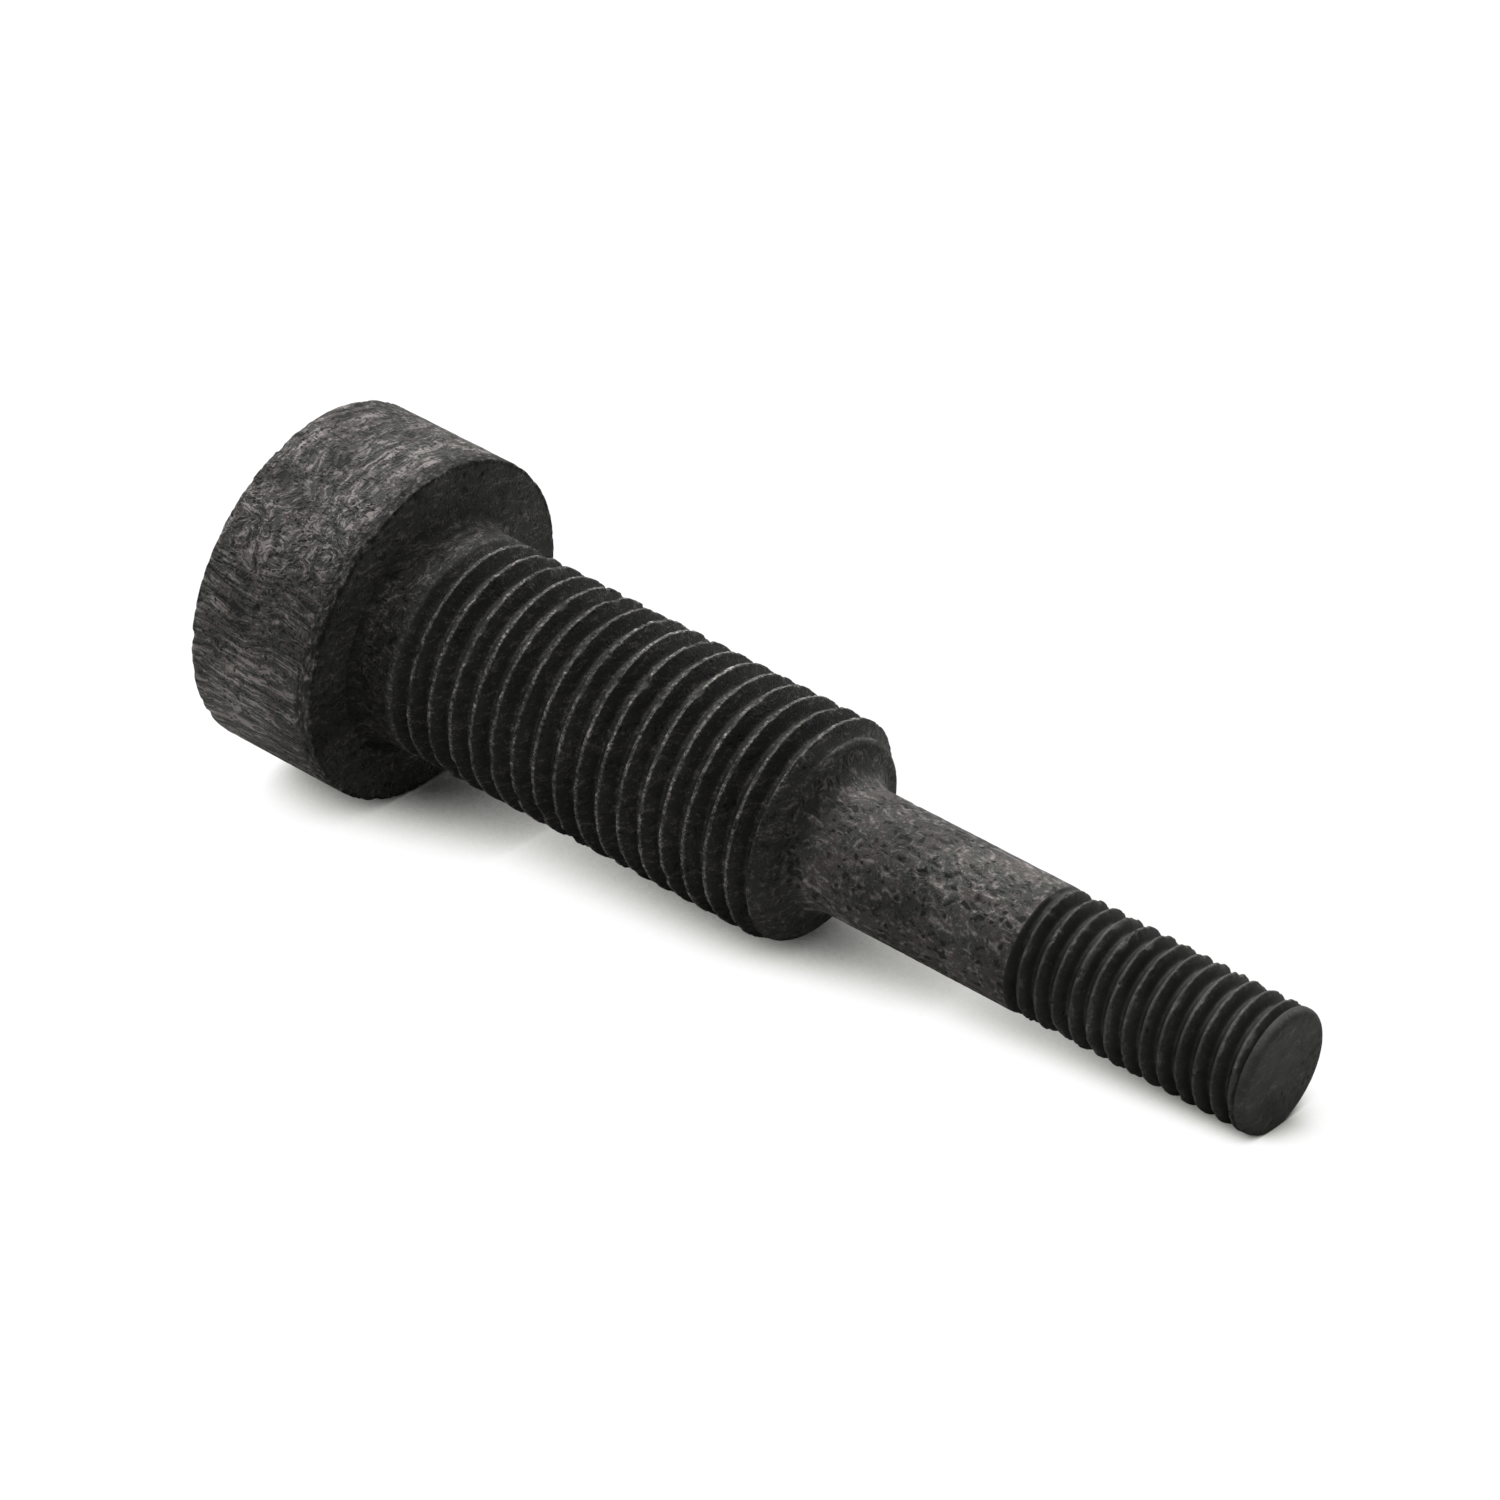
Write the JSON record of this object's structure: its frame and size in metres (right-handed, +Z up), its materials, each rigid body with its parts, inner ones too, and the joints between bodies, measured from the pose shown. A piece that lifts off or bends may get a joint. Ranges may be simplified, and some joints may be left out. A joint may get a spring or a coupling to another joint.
{
  "type": "stepped bolt",
  "caption": "One-piece stepped bolt in carbon composite: round socket head, main thread, then a slimmer plain pilot that ends in its own thread.",
  "frame": {"origin": "centre of the bearing face under the head", "axes": "+X along the bolt's axis from the head to the tip, +Z up"},
  "size_m": [0.091, 0.028, 0.028],
  "materials": {
    "carbon_felt": "matt machined carbon composite with felted fibres and small pores",
    "carbon_thread": "matt dark cut threads with pale worn crests",
    "carbon_tip": "matt dark end face"
  },
  "bodies": {
    "root": {"head": "carbon_felt", "neck": "carbon_felt", "main_thread": "carbon_thread", "shoulder": "carbon_felt", "pilot_shank": "carbon_felt", "pilot_thread": "carbon_thread", "tip": "carbon_tip"}
  },
  "joints": []
}
